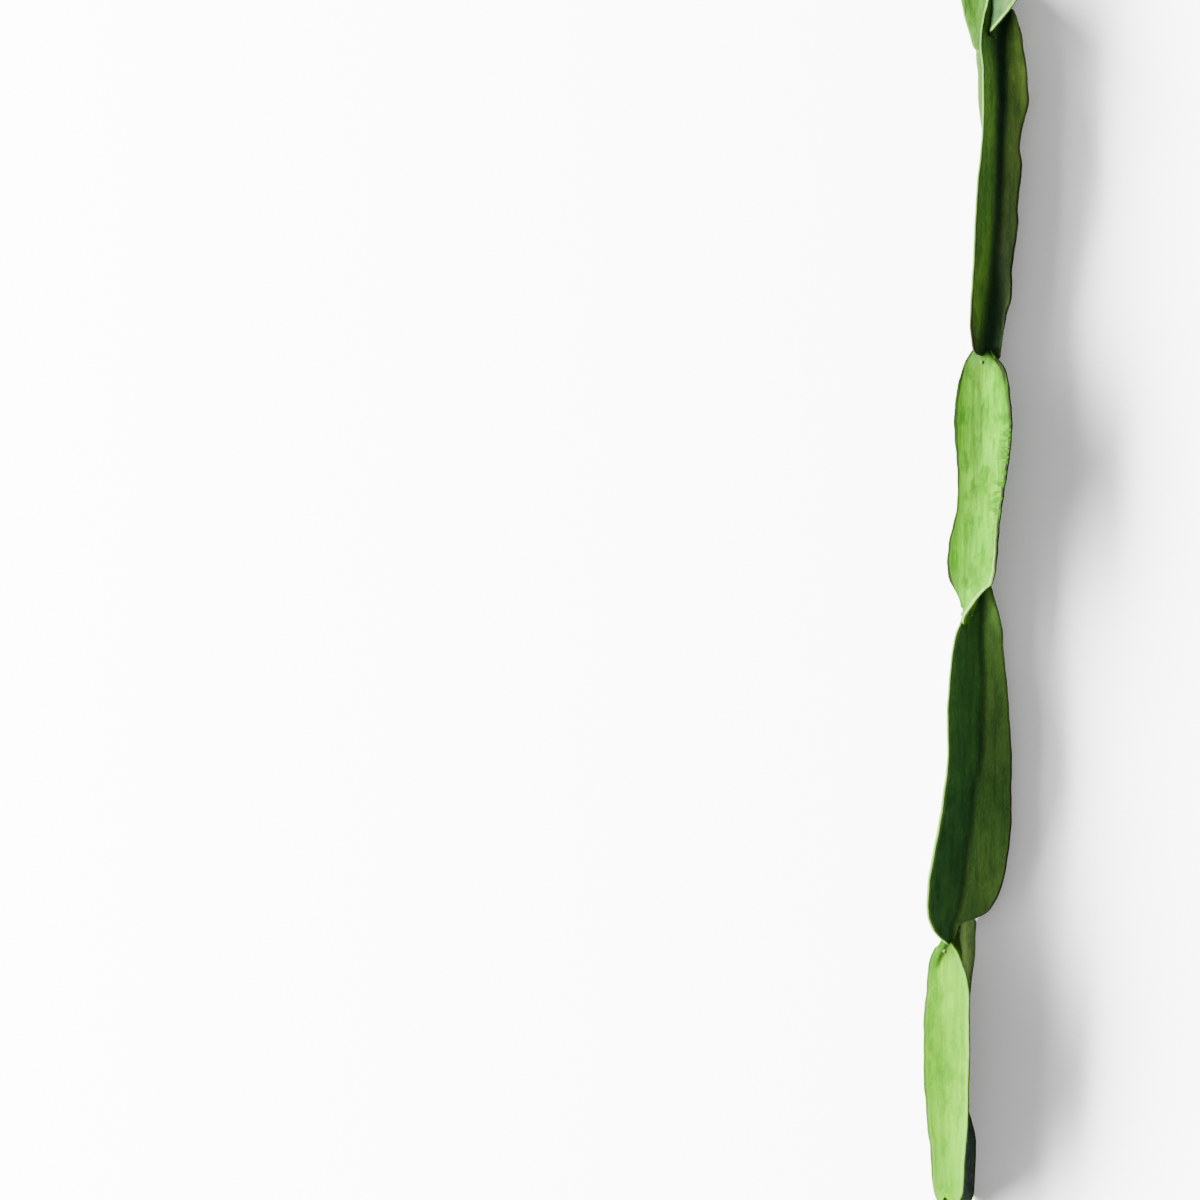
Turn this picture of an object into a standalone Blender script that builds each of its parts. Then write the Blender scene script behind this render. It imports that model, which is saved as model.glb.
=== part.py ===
"""Cut length of a chain cactus stem (rhipsalis), lying on a surface.

The stem is a chain of three-winged segments. The wings of each segment grow out of the
grooves between the wings of the one before, and a woolly areole sits where each wing ends.
The chain lies along Y, cut top at +Y, with its lower wings resting on Z = 0.
"""
import bisect
import math

import bpy
import bmesh
from mathutils import Vector

MM = 0.001
FULL_TURN = 2 * math.pi

# Driving dimensions, in millimetres. "Station" is the distance along the stem from its cut top.
STEM_LENGTH = 323.0
JOINT_STATIONS = (25.6, 101.6, 165.0, 249.0, 313.6)
JOINT_GAP = 0.5
CENTRE_SHIFT = 0.118
CORE_RADIUS = 2.2
NECK_RADIUS = 1.5
NECK_LENGTH = 8.0
WING_ROOT_AT_START = 2.2
WING_ROOT_AT_END = 1.6
ROOT_HALF_THICKNESS = 1.0
MID_HALF_THICKNESS = 0.62
RIM_HALF_THICKNESS = 0.34
MIDDLE_SHARE = 0.45
UNDERSIDE_SINE = -0.3
RING_SPACING = 3.2
EVEN_RING_SHARE = 0.45
LOBE_END_HEIGHT = 2.5
TUFT_WIDTH = 0.6
TUFT_DEPTH = 0.5
TUFT_SETBACK = 1.5
TUFT_CLEARANCE = 0.25

# The centre line: (station, sideways X, height Z), with gentle bends at the joints.
CENTRE_LINE = (
    (0.0, 3.5, 7.1), (12.0, 3.6, 7.1), (22.5, 3.1, 7.1), (31.0, 4.7, 7.2), (39.5, 5.3, 7.2),
    (62.0, 5.5, 7.2), (74.5, 4.8, 7.2), (87.0, 3.5, 7.1), (101.0, 2.5, 7.1), (112.0, 2.1, 7.2),
    (124.5, 1.6, 7.3), (137.0, 0.8, 7.3), (149.5, -0.6, 7.2), (163.5, -2.0, 7.1),
    (174.5, -1.4, 7.2), (187.0, -0.5, 7.3), (200.0, -0.3, 7.3), (212.0, -1.1, 7.3),
    (224.5, -2.5, 7.3), (236.0, -4.4, 7.2), (247.0, -6.5, 7.1), (262.0, -6.6, 7.0),
    (287.0, -6.5, 6.9), (311.0, -7.0, 6.9), (323.0, -7.0, 6.9),
)

# Wings of each segment: the way the wing turns, as (station, degrees from +X towards +Z), and
# the outline of its free edge, as (station, height above the centre line).
SEGMENTS = (
    ("stem_segment_1", (
        (((0.0, 38), (13.0, 38), (14.5, 40), (16.2, 48), (17.5, 57), (19.8, 65), (25.2, 48)),
         ((0.0, 8.2), (6.0, 8.0), (12.0, 7.0), (14.5, 6.3), (16.2, 5.0), (17.5, 3.8), (20.0, 2.5),
          (25.2, 2.3))),
        (((0.0, 168), (25.4, 168)),
         ((0.0, 8.6), (8.0, 8.0), (12.0, 7.6), (17.2, 5.9), (20.5, 4.9), (23.5, 4.2), (25.4, 2.5))),
        (((0.0, 285), (25.2, 285)),
         ((0.0, 7.0), (8.0, 8.2), (14.0, 7.8), (18.0, 6.8), (20.5, 5.0), (23.0, 2.5), (25.2, 2.3))),
    )),
    ("stem_segment_2", (
        (((13.6, -8), (101.2, 8)),
         ((13.6, 3.3), (15.4, 6.5), (17.5, 7.3), (20.0, 7.9), (24.0, 8.4), (28.0, 8.3),
          (33.0, 8.0), (37.0, 8.0), (41.5, 6.9), (49.0, 5.5), (53.5, 6.0), (58.0, 5.5),
          (64.0, 4.9), (68.0, 5.2), (74.5, 4.8), (78.5, 4.6), (86.0, 5.3), (91.0, 4.4),
          (96.0, 3.9), (101.2, 2.5))),
        (((9.0, 102), (12.0, 103), (16.2, 110), (24.5, 115), (30.0, 119), (37.0, 121),
          (47.0, 121.5), (53.0, 123), (60.0, 126), (68.0, 129), (82.0, 131.5), (101.2, 132)),
         ((9.0, 3.3), (12.0, 4.4), (18.0, 5.9), (25.0, 6.3), (31.0, 6.9), (37.0, 7.5),
          (43.0, 7.5), (50.0, 8.0), (59.0, 8.9), (64.0, 9.0), (74.5, 8.3), (86.0, 7.5),
          (93.0, 6.8), (97.5, 5.8), (99.8, 4.6), (101.2, 2.5))),
        (((22.5, 241), (30.0, 240), (36.0, 240), (42.0, 243), (46.0, 249), (52.0, 254),
          (60.0, 257), (101.2, 262)),
         ((22.5, 3.3), (25.0, 5.9), (27.5, 7.0), (31.0, 7.6), (38.0, 8.6), (60.0, 9.0),
          (84.0, 8.8), (94.0, 7.8), (99.0, 5.4), (101.2, 2.5))),
    )),
    ("stem_segment_3", (
        (((100.8, 42), (150.0, 51), (157.8, 54), (159.3, 60), (160.5, 64), (162.5, 76),
          (164.2, 86)),
         ((100.8, 3.3), (102.3, 4.6), (103.8, 6.4), (107.0, 8.1), (112.0, 9.4), (119.0, 10.1),
          (124.0, 10.0), (129.0, 9.3), (135.0, 8.7), (141.0, 8.6), (147.0, 9.0), (152.0, 9.3),
          (155.0, 9.2), (157.8, 8.6), (159.3, 7.0), (160.5, 5.7), (162.5, 4.3), (164.2, 2.5))),
        (((100.3, 170), (164.0, 180)),
         ((100.3, 3.3), (101.5, 4.2), (105.0, 5.4), (110.0, 6.9), (116.5, 7.4), (121.0, 7.1),
          (126.0, 5.9), (132.0, 5.6), (139.0, 5.3), (143.0, 5.6), (148.0, 6.3), (152.0, 6.4),
          (154.0, 6.0), (156.5, 5.1), (158.8, 4.0), (162.0, 2.9), (164.0, 2.5))),
        (((101.0, 288), (164.4, 297)),
         ((101.0, 3.3), (105.0, 6.6), (112.0, 8.4), (140.0, 8.6), (153.0, 8.4), (159.0, 6.8),
          (164.4, 2.5))),
    )),
    ("stem_segment_4", (
        (((155.0, 0), (175.0, -12), (248.2, -14)),
         ((155.0, 3.3), (158.0, 5.2), (161.5, 6.5), (165.5, 7.7), (170.0, 8.3), (182.0, 8.3),
          (194.0, 8.7), (207.0, 9.5), (219.0, 10.2), (228.0, 10.7), (231.5, 10.7),
          (235.0, 10.2), (239.5, 8.9), (240.8, 7.7), (242.0, 5.6), (243.4, 2.5), (248.2, 2.3))),
        (((164.6, 132), (244.0, 138), (246.5, 132), (248.2, 120)),
         ((164.6, 2.6), (166.5, 3.0), (168.0, 3.8), (169.5, 4.8), (171.5, 5.9), (175.0, 6.7),
          (181.0, 7.9), (190.0, 9.2), (202.0, 9.6), (214.0, 10.1), (224.0, 11.2), (231.0, 11.4),
          (236.0, 10.9), (240.5, 9.6), (244.0, 7.2), (246.5, 4.6), (248.2, 2.5))),
        (((163.6, 247), (248.2, 252)),
         ((163.6, 3.3), (168.0, 6.6), (176.0, 8.4), (200.0, 9.0), (232.0, 8.8), (241.0, 7.6),
          (246.0, 4.4), (248.2, 2.5))),
    )),
    ("stem_segment_5", (
        (((248.2, 82), (250.0, 70), (252.8, 65), (255.8, 61), (261.0, 58), (313.2, 58)),
         ((248.2, 3.3), (250.0, 4.7), (252.8, 6.2), (255.8, 7.5), (261.0, 8.5), (267.0, 8.6),
          (275.0, 8.3), (282.0, 7.8), (290.0, 7.7), (303.0, 7.1), (309.0, 6.6), (312.0, 4.6),
          (313.2, 2.5))),
        (((247.6, 180), (313.2, 180)),
         ((247.6, 3.0), (249.0, 4.0), (251.0, 4.9), (253.8, 5.6), (260.0, 6.0), (267.0, 6.7),
          (282.0, 6.75), (287.0, 6.3), (293.5, 5.8), (299.0, 4.9), (305.0, 4.4), (310.0, 3.7),
          (313.2, 2.5))),
        (((240.4, 312), (250.0, 313), (258.0, 309), (268.0, 305), (283.0, 302.5), (291.0, 304),
          (297.0, 309), (302.0, 314), (313.0, 314)),
         ((240.4, 3.3), (241.6, 8.0), (243.0, 9.3), (246.0, 9.7), (270.0, 9.7), (302.0, 9.8),
          (307.5, 9.6), (310.5, 7.6), (313.0, 2.5))),
    )),
    ("stem_segment_6", (
        (((311.4, 5), (323.0, 5)), ((311.4, 3.3), (315.0, 5.6), (319.0, 6.8), (323.0, 7.4))),
        (((311.8, 125), (323.0, 125)), ((311.8, 3.3), (315.0, 5.0), (319.0, 6.2), (323.0, 6.9))),
        (((312.2, 245), (323.0, 245)), ((312.2, 3.3), (315.0, 5.2), (319.0, 6.6), (323.0, 7.2))),
    )),
)

STEM_GREEN = (0.16, 0.34, 0.06)
WOOL_WHITE = (0.72, 0.76, 0.58)


def smooth_curve(points, station):
    """Cubic curve through (station, value...) points; returns the list of values."""
    stations = [p[0] for p in points]
    if station <= stations[0]:
        return list(points[0][1:])
    if station >= stations[-1]:
        return list(points[-1][1:])
    i = bisect.bisect_right(stations, station) - 1
    span = stations[i + 1] - stations[i]
    u = (station - stations[i]) / span
    values = []
    for axis in range(1, len(points[0])):
        def slope(j):
            if j == 0 or j == len(points) - 1:
                return 0.0
            before = (points[j][axis] - points[j - 1][axis]) / (stations[j] - stations[j - 1])
            after = (points[j + 1][axis] - points[j][axis]) / (stations[j + 1] - stations[j])
            if before * after <= 0.0:
                return 0.0
            return 2.0 * before * after / (before + after)
        a, b = points[i][axis], points[i + 1][axis]
        value = (2 * u ** 3 - 3 * u ** 2 + 1) * a + (3 * u ** 2 - 2 * u ** 3) * b
        value += (u ** 3 - 2 * u ** 2 + u) * span * slope(i)
        value += (u ** 3 - u ** 2) * span * slope(i + 1)
        values.append(value)
    return values


def place(station, angle, outward, sideways=0.0):
    """World point (metres) at a distance outward from the centre line, and off to the side."""
    x, z = smooth_curve(CENTRE_LINE, station)
    c, s = math.cos(angle), math.sin(angle)
    return Vector((
        (x + CENTRE_SHIFT + outward * c - sideways * s) * MM,
        (STEM_LENGTH / 2 - station) * MM,
        (z + outward * s + sideways * c) * MM,
    ))


def resting_height(height, station, angle):
    """Wing height, cut short where the wing's edge lies on the surface."""
    if math.sin(angle) > UNDERSIDE_SINE:
        return height
    _, z = smooth_curve(CENTRE_LINE, station)
    lean = abs(math.cos(angle)) * RIM_HALF_THICKNESS
    return min(height, (z - lean) / -math.sin(angle))


def core_radius(station, start, end):
    """Radius of the stem's core: full in the middle, drawn in to a neck at each joint."""
    reach = max(0.0, min(station - start, end - station, NECK_LENGTH))
    swell = math.sin(FULL_TURN / 4 * reach / NECK_LENGTH)
    return NECK_RADIUS + (CORE_RADIUS - NECK_RADIUS) * swell


def ring_parameters(length):
    """Ring positions from 0 to 1, closer together at both ends where the lobes are round."""
    count = max(6, round(length / RING_SPACING))
    steps = []
    for i in range(count + 1):
        u = i / count
        eased = (1 - math.cos(math.pi * u)) / 2
        steps.append(EVEN_RING_SHARE * u + (1 - EVEN_RING_SHARE) * eased)
    return steps


def edge_station(wing, t):
    """Station of a wing's free edge, from its start (t = 0) to its end (t = 1)."""
    outline = wing[1]
    return outline[0][0] + (outline[-1][0] - outline[0][0]) * t


def wing_angle(wing, t):
    return math.radians(smooth_curve(wing[0], edge_station(wing, t))[0])


def build_segment(name, wings, start, end):
    """Loft one segment through star-shaped rings, three wings and three grooves round."""
    bm = bmesh.new()
    rings = []
    for t in ring_parameters(end - start):
        station = start + (end - start) * t
        core = core_radius(station, start, end)
        ring = []
        for k, wing in enumerate(wings):
            angle = wing_angle(wing, t)
            edge = edge_station(wing, t)
            height = resting_height(smooth_curve(wing[1], edge)[0], edge, angle)
            root = max(core, WING_ROOT_AT_END if t > 0.5 else WING_ROOT_AT_START)
            middle = root + (height - root) * MIDDLE_SHARE
            half = station + (edge - station) * MIDDLE_SHARE
            thin = min(1.0, core / CORE_RADIUS)
            profile = (
                (station, root, -ROOT_HALF_THICKNESS * thin),
                (half, middle, -MID_HALF_THICKNESS),
                (edge, height, -RIM_HALF_THICKNESS),
                (edge, height, RIM_HALF_THICKNESS),
                (half, middle, MID_HALF_THICKNESS),
                (station, root, ROOT_HALF_THICKNESS * thin),
            )
            for where, outward, side in profile:
                ring.append(bm.verts.new(place(where, angle, outward, side)))
            following = wing_angle(wings[(k + 1) % 3], t)
            groove = angle + ((following - angle) % FULL_TURN) / 2
            ring.append(bm.verts.new(place(station, groove, core)))
        rings.append(ring)
    for before, after in zip(rings, rings[1:]):
        for i in range(len(before)):
            j = (i + 1) % len(before)
            bm.faces.new((before[i], before[j], after[j], after[i]))
    for ring in (rings[0], rings[-1]):
        disc = []
        for k in range(3):
            root_a, mid_a, rim_a, rim_b, mid_b, root_b, groove = ring[7 * k:7 * k + 7]
            bm.faces.new((root_a, mid_a, mid_b, root_b))
            bm.faces.new((mid_a, rim_a, rim_b, mid_b))
            disc += [root_a, root_b, groove]
        bm.faces.new(disc)
    bmesh.ops.triangulate(bm, faces=bm.faces[:], quad_method="SHORT_EDGE")
    bmesh.ops.recalc_face_normals(bm, faces=bm.faces[:])
    mesh = bpy.data.meshes.new(name)
    bm.to_mesh(mesh)
    bm.free()
    return bpy.data.objects.new(name, mesh)


def tuft_angle(wing, following_wings):
    """Direction of an areole: between the wing that ends and the groove it ends in."""
    starts = sorted(turn[0][1] % 360 for turn, outline in following_wings)
    grooves = [a + ((b - a) % 360) / 2 for a, b in zip(starts, starts[1:] + starts[:1])]
    end_angle = wing[0][-1][1]
    turns = [(groove - end_angle + 180) % 360 - 180 for groove in grooves]
    return math.radians(end_angle + min(turns, key=abs) / 2)


def build_tuft(name, wing, following_wings):
    """A woolly areole: a small low dome seated where a wing ends."""
    angle = tuft_angle(wing, following_wings)
    lobe_end = next(station for station, height in wing[1][1:] if height <= LOBE_END_HEIGHT)
    station = lobe_end + TUFT_SETBACK
    seat = LOBE_END_HEIGHT if station < wing[1][-1][0] else (NECK_RADIUS + CORE_RADIUS) / 2
    centre = place(station, angle, seat + TUFT_CLEARANCE + TUFT_DEPTH)
    bm = bmesh.new()
    bmesh.ops.create_uvsphere(bm, u_segments=10, v_segments=6, radius=1.0)
    for vert in bm.verts:
        along, around, out = vert.co
        c, s = math.cos(angle), math.sin(angle)
        across = around * TUFT_WIDTH * MM
        lift = out * TUFT_DEPTH * MM
        ahead = along * TUFT_WIDTH * MM
        vert.co = centre + Vector((lift * c - across * s, ahead, lift * s + across * c))
    mesh = bpy.data.meshes.new(name)
    bm.to_mesh(mesh)
    bm.free()
    mesh.shade_smooth()
    return bpy.data.objects.new(name, mesh)


def make_material(name, colour, roughness):
    material = bpy.data.materials.new(name)
    material.use_nodes = True
    shader = material.node_tree.nodes["Principled BSDF"]
    shader.inputs["Base Color"].default_value = (*colour, 1.0)
    shader.inputs["Roughness"].default_value = roughness
    shader.inputs["Metallic"].default_value = 0.0
    return material


def main():
    for item in list(bpy.data.objects):
        bpy.data.objects.remove(item)
    collection = bpy.data.collections.new("rhipsalis_stem")
    bpy.context.scene.collection.children.link(collection)
    flesh = make_material("stem_flesh", STEM_GREEN, 0.45)
    wool = make_material("areole_wool", WOOL_WHITE, 0.95)
    limits = (0.0,) + JOINT_STATIONS + (STEM_LENGTH,)
    for index, (name, wings) in enumerate(SEGMENTS):
        start, end = limits[index], limits[index + 1]
        start += JOINT_GAP / 2 if index else 0.0
        end -= JOINT_GAP / 2 if index < len(SEGMENTS) - 1 else 0.0
        segment = build_segment(name, wings, start, end)
        segment.data.materials.append(flesh)
        collection.objects.link(segment)
        if index < len(JOINT_STATIONS):
            for letter, wing in zip("abc", wings):
                following_wings = SEGMENTS[index + 1][1]
                tuft = build_tuft(f"areole_{index + 1}{letter}", wing, following_wings)
                tuft.data.materials.append(wool)
                collection.objects.link(tuft)


main()
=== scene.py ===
"""A cut length of chain cactus stem, lying on a pale table.

Sizes of the stem are in millimetres, and those of the table, lights and camera in metres. A
"station" is a distance along the stem from its upper cut end.
"""
import math
import random

import bpy
import numpy as np
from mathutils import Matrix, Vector


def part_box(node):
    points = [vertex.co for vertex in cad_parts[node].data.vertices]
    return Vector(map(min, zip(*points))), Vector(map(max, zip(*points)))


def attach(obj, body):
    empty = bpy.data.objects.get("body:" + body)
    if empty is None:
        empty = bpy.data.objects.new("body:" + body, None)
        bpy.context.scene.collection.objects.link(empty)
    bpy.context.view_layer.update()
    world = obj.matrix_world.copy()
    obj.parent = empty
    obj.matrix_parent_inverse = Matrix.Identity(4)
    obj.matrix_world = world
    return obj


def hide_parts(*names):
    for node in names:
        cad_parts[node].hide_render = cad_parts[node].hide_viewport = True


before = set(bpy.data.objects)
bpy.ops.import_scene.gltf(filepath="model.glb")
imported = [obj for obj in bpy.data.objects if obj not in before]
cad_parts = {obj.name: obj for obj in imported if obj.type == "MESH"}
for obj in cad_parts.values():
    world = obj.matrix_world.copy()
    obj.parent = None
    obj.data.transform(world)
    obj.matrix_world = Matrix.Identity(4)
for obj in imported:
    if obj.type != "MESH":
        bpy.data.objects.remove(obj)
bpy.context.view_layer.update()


# Segment 1 is the end of a grown segment, cut across at its top. A segment is firm water-filled
# flesh round a thin core, drawn out into three thin wings with rounded, slightly wavy margins.
# The centre line, as (station, x, z), runs on through all segments and bends at each joint.
MM = 0.001
UPPER_CUT_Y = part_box("stem_segment_1")[1][1] / MM
STRAND_SHIFT = 0.118
CENTRE_LINE = ((0.0, 3.5, 7.1), (12.0, 3.6, 7.1), (22.5, 3.1, 7.1), (31.0, 4.7, 7.2),
               (39.5, 5.3, 7.2), (62.0, 5.5, 7.2), (74.5, 4.8, 7.2), (87.0, 3.5, 7.1),
               (101.0, 2.5, 7.1), (112.0, 2.1, 7.2), (124.5, 1.6, 7.3), (137.0, 0.8, 7.3),
               (149.5, -0.6, 7.2), (163.5, -2.0, 7.1), (174.5, -1.4, 7.2), (187.0, -0.5, 7.3),
               (200.0, -0.3, 7.3), (212.0, -1.1, 7.3), (224.5, -2.5, 7.3), (236.0, -4.4, 7.2),
               (247.0, -6.5, 7.1), (262.0, -6.6, 7.0), (287.0, -6.5, 6.9), (311.0, -7.0, 6.9),
               (323.0, -7.0, 6.9))
PAST_END = 400.0
RING_STEP = 0.36
RIM_POINTS = 7
FLANK_POINTS = 28
RIM_RADIUS = 0.34
SHARP_FOOT = (1.5, 0.75)


def smooth_line(points, stations):
    """Smooth curve without overshoot through (station, value...) points."""
    points = np.array(points, dtype=float)
    at, values = points[:, 0], points[:, 1:]
    rise = np.diff(values, axis=0) / np.diff(at)[:, None]
    slope = np.zeros_like(values)
    before, after = rise[:-1], rise[1:]
    same_way = before * after > 0
    total = np.where(same_way, before + after, 1.0)
    slope[1:-1] = np.where(same_way, 2 * before * after / total, 0.0)
    stations = np.clip(stations, at[0], at[-1])
    i = np.clip(np.searchsorted(at, stations, side="right") - 1, 0, len(at) - 2)
    span = (at[i + 1] - at[i])[:, None]
    u = (stations - at[i])[:, None] / span
    line = (2 * u ** 3 - 3 * u ** 2 + 1) * values[i] + (3 * u ** 2 - 2 * u ** 3) * values[i + 1]
    line += (u ** 3 - 2 * u ** 2 + u) * span * slope[i] + (u ** 3 - u ** 2) * span * slope[i + 1]
    return line


def steady(*values):
    """A line that keeps the same values along the whole strand."""
    return (0.0, *values), (PAST_END, *values)


def soft_step(low, high, value):
    """Eases from 0 at low to 1 at high, which may be the smaller of the two."""
    t = np.clip((value - low) / (high - low), 0.0, 1.0)
    return t * t * (3 - 2 * t)


# A wing begins and ends as a stub, a little over the core. The stub has a thicker rim and a foot
# that is a share of the core's radius. STUB_WAY keeps the margin's colours off it. The wing is
# fully grown at FULL_GROWN over the core. Below SWAY_HEIGHT it sways less and has no notches.
STUB_HEIGHT = 0.05
STUB_RIM = 0.2
STUB_FOOT = 0.78
STUB_WAY = 3.0
FULL_GROWN = 2.6
SWAY_HEIGHT = 4.0
# Size, rate and phase of the margin's second wave, compared with the first, then the size and
# rate of its small notches.
SECOND_WAVE = (0.5, 1.73, 2.1)
RIPPLE = 0.04
RIPPLE_RATE = 5.3
# The lower wings, which point down at more than LOWER_SINE, sway less. They carry the strand on
# margins that its weight presses flat.
LOWER_SINE = 0.3
LOWER_SWAY = 0.3
PRESSED_FLAT = 0.12


def wing_rows(wing, stations, core, centre_height, groove):
    """Angle, height, sideways wave, rim thickness and colouring of one wing at each station, the
    colouring partly painted light and shade, and the half width, side shift and darkness of the
    dark line of painted shade down the valley that follows it."""
    along = stations[:, None]
    angle = np.radians(smooth_line(wing["turn"], stations))
    height = smooth_line(wing["edge"], stations)
    first, last = wing["edge"][0][0], wing["edge"][-1][0]
    outside = np.maximum(first - along, along - last)
    height = np.where(outside > 0, np.minimum(height, core + STUB_HEIGHT), height)
    size, length, phase = wing["wave"]
    turn = 2 * math.pi * along / length
    second_size, second_rate, second_phase = SECOND_WAVE
    wave = size * (np.sin(turn + phase)
                   + second_size * np.sin(second_rate * turn + second_phase * phase))
    ripple = wing.get("ripple", RIPPLE) * np.sin(turn * RIPPLE_RATE + phase)
    height = height + ripple * (height > SWAY_HEIGHT)
    down = -np.sin(angle)
    lower = down > LOWER_SINE
    reach = (centre_height - RIM_RADIUS) / np.maximum(down, LOWER_SINE) + RIM_RADIUS + PRESSED_FLAT
    height = np.where(lower, np.minimum(height, reach), height)
    wave = np.where(lower, wave * LOWER_SWAY, wave)
    thick = smooth_line(wing.get("thick", steady(RIM_RADIUS)), stations)
    paint = np.concatenate((smooth_line(wing["rim"], stations),
                            smooth_line(wing.get("tone_and_painted_light", steady(1.0, 1.0, 1.0)), stations)), axis=1)
    valley = smooth_line(wing.get("groove", steady(*groove)), stations)
    return angle, np.maximum(height, core), wave, thick, paint, valley


def on_wing(angle, height, wave, out, side):
    """Points at a height and a side step on a wing, which sways with its margin's wave."""
    side = side + wave * np.clip(out / np.maximum(height, SWAY_HEIGHT), 0, 1) ** 2
    c, s = np.cos(angle), np.sin(angle)
    return np.stack((out * c - side * s, out * s + side * c), axis=-1)


def wing_foot(core, grown, full_size):
    """Height or side step of the curve at a wing's foot, which grows with the wing."""
    return core * STUB_FOOT * (1 - grown) + full_size * grown


def shape_sections(wings, stations, core, centre_height, foot, groove):
    """Points round each section, in millimetres from the centre line, their way to the nearest
    margin, the darkness of the valley's painted shade line, and the brown edge, pale margin and
    colour multipliers, which carry painted rim shade, painted highlight, and painted light and
    shade besides the skin's own colour."""
    rings = len(stations)
    wing_points = RIM_POINTS + FLANK_POINTS
    sides = len(wings) * wing_points
    grid = np.zeros((rings, sides, 2))
    edge_way = np.zeros((rings, sides))
    groove_dark = np.zeros((rings, sides))
    painted = np.zeros((rings, sides, 5))
    rows = [wing_rows(wing, stations, core, centre_height, groove) for wing in wings]
    for k in range(len(wings)):
        angle, height, wave, thick, paint, valley = rows[k]
        next_row = rows[(k + 1) % len(wings)]
        next_angle, next_height, next_wave, next_thick, next_paint = next_row[:5]
        grown = soft_step(0.0, FULL_GROWN, height - core)
        next_grown = soft_step(0.0, FULL_GROWN, next_height - core)
        rim = thick + STUB_RIM * (1 - grown)
        next_rim = next_thick + STUB_RIM * (1 - next_grown)

        # The rounded margin of this wing.
        rim_part = slice(k * wing_points, k * wing_points + RIM_POINTS)
        lean = np.radians(np.linspace(-90, 90, RIM_POINTS))[None, :]
        out = height - rim + rim * np.cos(lean)
        grid[:, rim_part] = on_wing(angle, height, wave, out, rim * np.sin(lean))
        edge_way[:, rim_part] = rim * np.abs(lean) + STUB_WAY * (1 - grown)
        painted[:, rim_part] = paint[:, None]

        # The flank, one curve down into the valley and up to the next wing's margin.
        flank_part = slice(rim_part.stop, (k + 1) * wing_points)
        begin = on_wing(angle, height, wave, height - rim, rim)
        foot_a = on_wing(angle, height, wave, wing_foot(core, grown, foot[0]),
                         wing_foot(core, grown, foot[1]))
        foot_b = on_wing(next_angle, next_height, next_wave,
                         wing_foot(core, next_grown, foot[0]), -wing_foot(core, next_grown, foot[1]))
        finish = on_wing(next_angle, next_height, next_wave, next_height - next_rim, -next_rim)
        q = (np.arange(FLANK_POINTS + 2) / (FLANK_POINTS + 1))[None, :, None]
        flank = (1 - q) ** 3 * begin + 3 * (1 - q) ** 2 * q * foot_a
        flank += 3 * (1 - q) * q ** 2 * foot_b + q ** 3 * finish
        grid[:, flank_part] = flank[:, 1:-1]
        step = np.linalg.norm(np.diff(flank, axis=1), axis=2)
        way = np.concatenate((np.zeros((rings, 1)), np.cumsum(step, axis=1)), axis=1)
        near = np.minimum(
            way + rim * math.pi / 2 + STUB_WAY * (1 - grown),
            way[:, -1:] - way + next_rim * math.pi / 2 + STUB_WAY * (1 - next_grown))
        edge_way[:, flank_part] = near[:, 1:-1]
        # The dark line down the valley is painted shade, with its own half width, side shift and
        # darkness.
        middle = way[:, (FLANK_POINTS + 1) // 2][:, None]
        from_valley = (way - middle - valley[:, 1:2])[:, 1:-1]
        within = soft_step(1.0, 0.1, np.abs(from_valley) / valley[:, :1])
        groove_dark[:, flank_part] = within * valley[:, 2:]
        across = soft_step(-0.6, 0.6, from_valley)[:, :, None]
        painted[:, flank_part] = paint[:, None] * (1 - across) + next_paint[:, None] * across
    return grid, edge_way, groove_dark, painted


def ringed_cylinder(name, rings, sides):
    """A closed cylinder from z = 1 down to z = -1, divided into rings."""
    bpy.ops.object.select_all(action="DESELECT")
    bpy.ops.mesh.primitive_cylinder_add(vertices=sides, radius=1.0, depth=2.0, end_fill_type="NGON")
    cylinder = bpy.context.object
    cylinder.name = cylinder.data.name = name
    bpy.ops.object.mode_set(mode="EDIT")
    bpy.ops.mesh.select_mode(type="EDGE")
    bpy.ops.mesh.select_all(action="DESELECT")
    bpy.ops.object.mode_set(mode="OBJECT")
    for edge in cylinder.data.edges:
        a, b = (cylinder.data.vertices[i].co.z for i in edge.vertices)
        edge.select = abs(a - b) > 1.0
    bpy.ops.object.mode_set(mode="EDIT")
    bpy.ops.mesh.subdivide_edgering(number_cuts=rings - 1, interpolation="LINEAR")
    bpy.ops.object.mode_set(mode="OBJECT")
    return cylinder


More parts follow.
